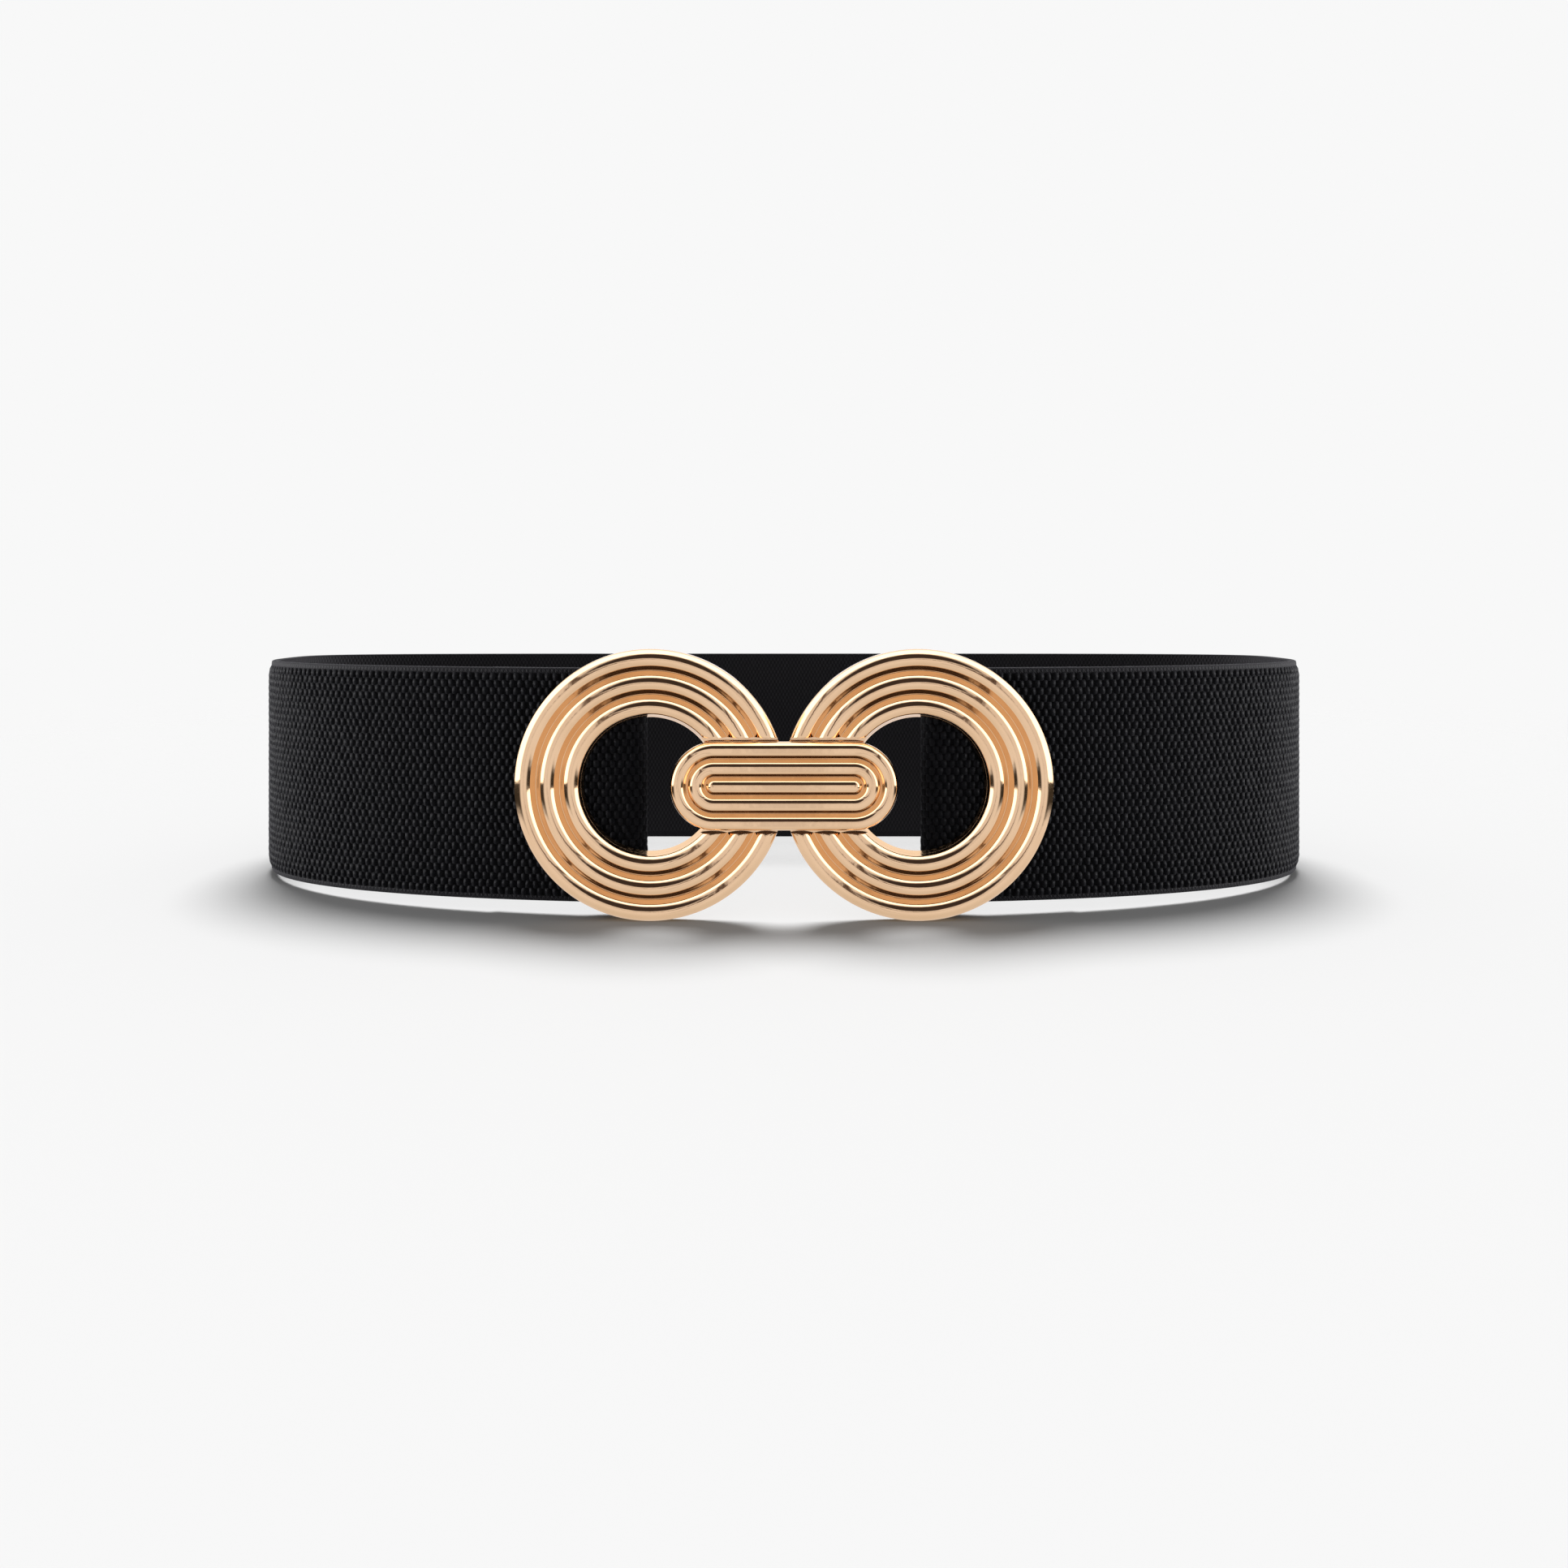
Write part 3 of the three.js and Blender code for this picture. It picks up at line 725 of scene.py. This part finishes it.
class Nodes:
    """Short names for making shader nodes in one tree."""

    def __init__(self, tree):
        self.tree = tree
        tree.nodes.clear()

    def add(self, kind, inputs=(), **settings):
        node = self.tree.nodes.new(kind)
        for key, value in settings.items():
            setattr(node, key, value)
        for key, value in dict(inputs).items():
            self.set(node.inputs[key], value)
        return node

    def set(self, socket, value):
        """Links a socket to another, or gives it a value."""
        if isinstance(value, bpy.types.NodeSocket):
            self.tree.links.new(value, socket)
        else:
            socket.default_value = value

    def math(self, operation, a, b=0.0, c=0.0, clamp=False):
        node = self.add("ShaderNodeMath", {0: a, 1: b, 2: c}, operation=operation, use_clamp=clamp)
        return node.outputs[0]

    def times(self, product, *others):
        """Product of several values."""
        for other in others:
            product = self.math("MULTIPLY", product, other)
        return product

    def wave(self, operation, value, step):
        """Sine or cosine that repeats with the step."""
        return self.math(operation, self.times(value, 2 * math.pi / step))

    def split(self, vector):
        """The three parts of a vector."""
        return tuple(self.add("ShaderNodeSeparateXYZ", {0: vector}).outputs)

    def fade(self, value, low, high, start=0.0, end=1.0):
        """Smooth change from start to end as the value goes from low to high."""
        node = self.add("ShaderNodeMapRange", {0: value, 1: low, 2: high, 3: start, 4: end},
                        interpolation_type="SMOOTHSTEP")
        return node.outputs[0]

    def mix(self, share, a, b):
        node = self.add("ShaderNodeMix", data_type="RGBA")
        self.set(node.inputs[0], share)
        self.set(node.inputs[6], a)
        self.set(node.inputs[7], b)
        return node.outputs[2]

    def noise(self, vector, scale, detail=3.0, roughness=0.5):
        node = self.add("ShaderNodeTexNoise", {"Vector": vector, "Scale": scale, "Detail": detail,
                                               "Roughness": roughness})
        return node.outputs["Fac"]

    def relief(self, shader, *layers):
        """Fine relief on a shader, from layers of strength, distance in metres, and height."""
        below = {}
        for strength, distance, height in layers:
            inputs = {"Strength": strength, "Distance": distance, "Height": height, **below}
            below = {"Normal": self.add("ShaderNodeBump", inputs).outputs[0]}
        self.set(shader.inputs["Normal"], below["Normal"])


def material(name):
    """New material, with its nodes and its shader."""
    made = bpy.data.materials.new(name)
    made.use_nodes = True
    nodes = Nodes(made.node_tree)
    shader = nodes.add("ShaderNodeBsdfPrincipled")
    output = nodes.add("ShaderNodeOutputMaterial")
    made.node_tree.links.new(shader.outputs[0], output.inputs[0])
    return made, nodes, shader


def gold_material():
    """Polished rose-tinted gold plating over cast metal: faint waves, fine pits and slight clouding."""
    made, nodes, shader = material("gold_plate")
    place = nodes.add("ShaderNodeTexCoord").outputs["Object"]
    cloud = nodes.noise(place, 90.0, 4.0)
    waves = nodes.noise(place, 240.0, 2.0)
    pits = nodes.noise(place, 2600.0, 2.0, 0.6)
    colour = nodes.mix(nodes.fade(cloud, 0.35, 0.7), *GOLD)
    nodes.set(shader.inputs["Base Color"], colour)
    shader.inputs["Metallic"].default_value = 1.0
    nodes.set(shader.inputs["Roughness"], nodes.fade(cloud, 0.3, 0.75, 0.055, 0.10))
    nodes.relief(shader, (0.10, 0.0004, waves), (0.05, 0.00004, pits))
    return made


def yarn_material():
    """Raised black floats: nearly matte yarn with fine strands along each float."""
    made, nodes, shader = material("elastic_yarn")
    cloth = nodes.add("ShaderNodeUVMap", uv_map="cloth").outputs[0]
    strands = nodes.add("ShaderNodeTexWave", {"Vector": cloth, "Scale": 14.0, "Distortion": 1.6,
                                              "Detail": 2.0, "Detail Scale": 2.0},
                        wave_type="BANDS", bands_direction="X", wave_profile="SIN").outputs["Fac"]
    fuzz = nodes.noise(cloth, 60.0, 4.0, 0.65)
    patches = nodes.noise(cloth, 5.0, 3.0)
    colour = nodes.mix(nodes.fade(patches, 0.35, 0.68), *YARN)
    colour = nodes.mix(nodes.fade(fuzz, 0.55, 0.8, 0.0, 0.5), colour, YARN_FUZZ)
    nodes.set(shader.inputs["Base Color"], colour)
    nodes.set(shader.inputs["Roughness"], nodes.fade(fuzz, 0.3, 0.7, 0.36, 0.50))
    shader.inputs["Specular IOR Level"].default_value = 0.02
    shader.inputs["Sheen Weight"].default_value = 0.02
    shader.inputs["Sheen Roughness"].default_value = 0.45
    nodes.relief(shader, (0.55, 0.00006, strands), (0.35, 0.00005, fuzz))
    return made


def ground_material():
    """The dark ground cloth: a fine knit of staggered loops, seen on the inside and along the selvedges."""
    made, nodes, shader = material("elastic_ground")
    cloth = nodes.add("ShaderNodeUVMap", uv_map="cloth").outputs[0]
    along, around, _ = nodes.split(cloth)
    loops = nodes.times(nodes.wave("SINE", along, KNIT_STEP), nodes.wave("COSINE", around, KNIT_HEIGHT))
    ribs = nodes.wave("SINE", along, KNIT_RIB_STEP)
    knit = nodes.math("ADD", nodes.times(loops, 0.5), nodes.times(ribs, 0.22))
    fuzz = nodes.noise(cloth, 70.0, 4.0, 0.65)
    inner = nodes.mix(nodes.fade(loops, -0.6, 0.8), *INNER_KNIT)
    # Outer face: the cloth's black plus painted shade, nearly black between the floats
    outer = nodes.mix(nodes.fade(fuzz, 0.3, 0.7), *OUTER_GROUND_AND_PAINTED_SHADE)
    colour = nodes.mix(nodes.fade(around, *INNER_FACE_FROM), outer, inner)
    wraps = nodes.add("ShaderNodeTexWave", {"Vector": cloth, "Scale": 9.0, "Distortion": 2.5, "Detail": 3.0},
                      wave_type="BANDS", bands_direction="DIAGONAL").outputs["Fac"]
    upper = nodes.times(nodes.fade(around, *UPPER_SELVEDGE_FROM),
                        nodes.fade(around, *UPPER_SELVEDGE_TO, 1.0, 0.0))
    lower = nodes.fade(around, *LOWER_SELVEDGE_FROM)
    colour = nodes.mix(nodes.math("ADD", upper, lower), colour, nodes.mix(wraps, *SELVEDGE_WRAPS))
    nodes.set(shader.inputs["Base Color"], colour)
    nodes.set(shader.inputs["Roughness"], nodes.fade(fuzz, 0.3, 0.7, 0.55, 0.75))
    shader.inputs["Specular IOR Level"].default_value = 0.04
    shader.inputs["Sheen Weight"].default_value = 0.02
    shader.inputs["Sheen Roughness"].default_value = 0.5
    nodes.relief(shader, (0.7, 0.00012, knit), (0.4, 0.00005, fuzz))
    return made


def thread_material():
    """Black sewing thread with a fine twist."""
    made, nodes, shader = material("sewing_thread")
    place = nodes.add("ShaderNodeTexCoord").outputs["Object"]
    twist = nodes.add("ShaderNodeTexWave", {"Vector": place, "Scale": 900.0, "Distortion": 1.0},
                      wave_type="BANDS", bands_direction="DIAGONAL").outputs["Fac"]
    nodes.set(shader.inputs["Base Color"], nodes.mix(twist, *THREAD))
    shader.inputs["Roughness"].default_value = 0.5
    nodes.relief(shader, (0.5, 0.00006, twist))
    return made


def dress(piece, look, slot, *nodes):
    """Gives a piece its material and ties it to the frame."""
    piece.data.materials.clear()
    piece.data.materials.append(look)
    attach(piece, "root")
    if nodes:
        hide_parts(*nodes)


gold = gold_material()
yarn = yarn_material()
ground = ground_material()
thread = thread_material()

cloth = [
    ground_cloth(),
    floats("floats_right", 0, PATH_LENGTH / 2),
    floats("floats_left", PATH_LENGTH / 2, PATH_LENGTH),
    stitches(),
]
dress(cloth[0], ground, "elastic", "elastic_band")
dress(cloth[1], yarn, "elastic")
dress(cloth[2], yarn, "elastic")
dress(cloth[3], thread, "elastic")
for word, side in (("left", -1), ("right", 1)):
    dress(ring("ring_body_" + word, side), gold, "gold_metal", "ring_" + word)
    dress(rod("bar_body_" + word, side), gold, "gold_metal", "bar_" + word)
dress(link("link_body"), gold, "gold_metal", "link_pill")
dress(hook("hook_body"), gold, "gold_metal", "clasp_hook")


# Studio: a pale floor, a world that the metal mirrors, a key light, and a light at each side for the weave

# The floor, in metres: rings of points, solid to one radius and faded out at the last
FLOOR_RINGS = (0.02, 0.2, 0.4, 0.6)
FLOOR_SIDES = 96
FLOOR_SOLID = 0.24
FLOOR_END = FLOOR_RINGS[-1]

# Glow of the floor inside the loop: how strong, and where it fades towards the front and the sides
GLOW = 0.68
GLOW_FROM = (0.012, 0.050)
GLOW_SIDES = (0.090, 0.130)
GLOW_INSET = 1

# Colours of the surroundings. Numbers above 1 are brighter than white.
BACKDROP = (0.939, 0.939, 0.939, 1)
FILL = (0.25, 0.25, 0.25, 1)
FRONT_WALL = (0.88, 0.88, 0.97, 1)
WHITE_WALLS = (2.6, 2.6, 2.7, 1)
BACK_WALL = (1.15, 1.15, 1.2, 1)
DARK_CARD = (0.05, 0.04, 0.04, 1)
TABLE = ((0.80, 0.80, 0.84, 1), (0.92, 0.93, 1.02, 1))
TABLE_EDGE = (0.05, 0.045, 0.04, 1)
BEAM = (0.10, 0.07, 0.06, 1)
STAND = (0.12, 0.08, 0.07, 1)

KEY_ENERGY = 2.89
SIDE_ENERGY = 7.6


def floor_mesh():
    """Round floor: rings of quads, with triangles in the middle."""
    angle = np.linspace(0, 2 * np.pi, FLOOR_SIDES, endpoint=False)
    radius = np.array(FLOOR_RINGS)[:, None]
    x, y = radius * np.cos(angle), radius * np.sin(angle)
    points = np.column_stack([x.ravel(), y.ravel(), np.zeros(x.size)])
    faces = grid_faces(len(radius), len(angle), closed_columns=True)
    outside = mesh_object("floor", points, faces[:, ::-1])
    fan = np.array([[i, (i + 1) % FLOOR_SIDES, FLOOR_SIDES] for i in range(FLOOR_SIDES)])
    middle = mesh_object("floor_middle", np.concatenate([points[:FLOOR_SIDES], [[0.0, 0.0, 0.0]]]), fan)
    return joined("floor", [outside, middle])


def floor():
    """Matte floor that fades out into the background. The photo's floor is white inside the loop, where
    the key light would leave it dark, so it glows a little there, inside the band's back half alone."""
    made = floor_mesh()
    look, nodes, shader = material("pale_floor")
    shader.inputs["Base Color"].default_value = (0.86, 0.86, 0.86, 1)
    shader.inputs["Roughness"].default_value = 0.9
    shader.inputs["Specular IOR Level"].default_value = 0.0
    place = nodes.add("ShaderNodeTexCoord").outputs["Object"]
    away = nodes.add("ShaderNodeVectorMath", {0: place}, operation="LENGTH").outputs["Value"]
    nodes.set(shader.inputs["Alpha"], nodes.fade(away, FLOOR_SOLID, FLOOR_END, 1.0, 0.0))

    x, y, _ = nodes.split(place)
    from_middle = nodes.math("ABSOLUTE", x)
    past_widest = nodes.math("SUBTRACT", y, (FRONT_DEPTH - MIDDLE_DEPTH) * MM)
    across = nodes.math("DIVIDE", from_middle, (LOOP_HALF_WIDTH - GLOW_INSET) * MM)
    behind = nodes.math("DIVIDE", nodes.math("MAXIMUM", past_widest, 0.0), (BACK_DEPTH - GLOW_INSET) * MM)
    reach = nodes.math("ADD", nodes.math("POWER", across, BACK_EXPONENT),
                       nodes.math("POWER", behind, BACK_EXPONENT))
    inside = nodes.math("LESS_THAN", reach, 1.0)
    toward_back = nodes.fade(y, *GLOW_FROM)
    between_sides = nodes.fade(from_middle, *GLOW_SIDES, 1.0, 0.0)
    shader.inputs["Emission Color"].default_value = (1.0, 1.0, 1.0, 1)
    nodes.set(shader.inputs["Emission Strength"], nodes.times(toward_back, between_sides, inside, GLOW))
    made.data.materials.append(look)
    made.visible_glossy = False


def mirrored_studio(nodes, way):
    """What the polished metal mirrors, by the way a ray goes: x to either side, y to the back, z up. A
    pale wall in front and white ones beside it, a dark card high up, an even wall behind, and below them
    a pale table with dark edges. A dark beam at either side and a thin stand lie over them in front."""
    x, y, z = nodes.split(way)
    x = nodes.math("ABSOLUTE", x)
    up = nodes.math("MAXIMUM", z, 0.0)
    front = nodes.math("MULTIPLY_ADD", y, -1.0, nodes.times(up, 0.28))
    ahead = nodes.fade(y, 0.0, 0.2, 1.0, 0.0)

    room = nodes.mix(nodes.fade(front, 0.80, 0.66), FRONT_WALL, WHITE_WALLS)
    card_x = nodes.math("POWER", nodes.math("DIVIDE", x, 0.42), 2.0)
    card_z = nodes.math("POWER", nodes.math("DIVIDE", nodes.math("SUBTRACT", z, 0.45), 0.40), 2.0)
    card = nodes.fade(nodes.math("ADD", card_x, card_z), 0.60, 1.12, 1.0, 0.0)
    room = nodes.mix(nodes.times(card, ahead), room, DARK_CARD)
    room = nodes.mix(nodes.fade(y, 0.15, 0.35), room, BACK_WALL)

    table = nodes.mix(nodes.fade(z, -0.98, -0.35), *TABLE)
    edge = nodes.times(nodes.fade(z, -0.40, -0.26), nodes.fade(x, 0.45, 0.75))
    table = nodes.mix(edge, table, TABLE_EDGE)
    studio = nodes.mix(nodes.fade(z, -0.15, -0.12), table, room)

    over_beam = nodes.math("SUBTRACT", z, nodes.math("MULTIPLY_ADD", x, 1.3, -0.24))
    beam = nodes.times(nodes.fade(nodes.math("ABSOLUTE", over_beam), 0.02, 0.075, 1.0, 0.0),
                       nodes.fade(x, 0.06, 0.13), nodes.fade(x, 0.50, 0.62, 1.0, 0.0))
    studio = nodes.mix(nodes.times(beam, ahead), studio, BEAM)
    stand = nodes.times(nodes.fade(x, 0.010, 0.035, 1.0, 0.0), nodes.fade(y, -0.85, -0.75, 1.0, 0.0))
    return nodes.mix(nodes.times(stand, 0.2), studio, STAND)


def world():
    """Surroundings by the kind of ray: the camera sees an even background, reflections that have met
    nothing matte see the studio, and all other rays meet a soft even fill."""
    made = bpy.data.worlds.new("studio")
    made.use_nodes = True
    nodes = Nodes(made.node_tree)
    way = nodes.add("ShaderNodeTexCoord").outputs["Generated"]
    rays = nodes.add("ShaderNodeLightPath")
    undiffused = nodes.math("SUBTRACT", 1.0, rays.outputs["Diffuse Depth"], clamp=True)
    mirror_share = nodes.times(rays.outputs["Is Glossy Ray"], undiffused)
    light = nodes.mix(mirror_share, FILL, mirrored_studio(nodes, way))
    seen = nodes.mix(rays.outputs["Is Camera Ray"], light, BACKDROP)
    shader = nodes.add("ShaderNodeBackground", {"Color": seen, "Strength": 1.0})
    output = nodes.add("ShaderNodeOutputWorld")
    made.node_tree.links.new(shader.outputs[0], output.inputs[0])
    bpy.context.scene.world = made


def sun(name, energy, softness, tilt, turn):
    """Soft distant light: its width, its tilt from straight down and its turn about the upright axis
    are in degrees."""
    light = bpy.data.lights.new(name, "SUN")
    light.energy = energy
    light.angle = math.radians(softness)
    made = bpy.data.objects.new(name, light)
    made.rotation_euler = (math.radians(tilt), 0, math.radians(turn))
    bpy.context.scene.collection.objects.link(made)
    return made


def lights(cloth):
    """A key light from above and a little behind, and a low light from each side for the cloth alone,
    which picks out the weave."""
    sun("key", KEY_ENERGY, 32, -24, 0).visible_glossy = False
    weave = bpy.data.collections.new("weave")
    for piece in cloth:
        weave.objects.link(piece)
    for name, turn in (("left_side", -92), ("right_side", 92)):
        sun(name, SIDE_ENERGY, 18, 86, turn).light_linking.receiver_collection = weave


def camera():
    """The photograph's view: level, straight on, with the horizon above the middle of the frame."""
    frame_width = 1932
    focal_px = 1923.9
    horizon_above_middle = 315.3
    distance = 403.1
    height = 101.2
    sensor_width = 36
    data = bpy.data.cameras.new("camera")
    data.sensor_width = sensor_width
    data.lens = sensor_width * focal_px / frame_width
    data.shift_y = -horizon_above_middle / frame_width
    made = bpy.data.objects.new("camera", data)
    made.location = (0, (-MIDDLE_DEPTH - distance) * MM, height * MM)
    made.rotation_euler = (math.pi / 2, 0, 0)
    bpy.context.scene.collection.objects.link(made)
    bpy.context.scene.camera = made


floor()
world()
lights(cloth)
camera()
bpy.context.scene.view_settings.view_transform = "Standard"
bpy.context.scene.view_settings.look = "None"
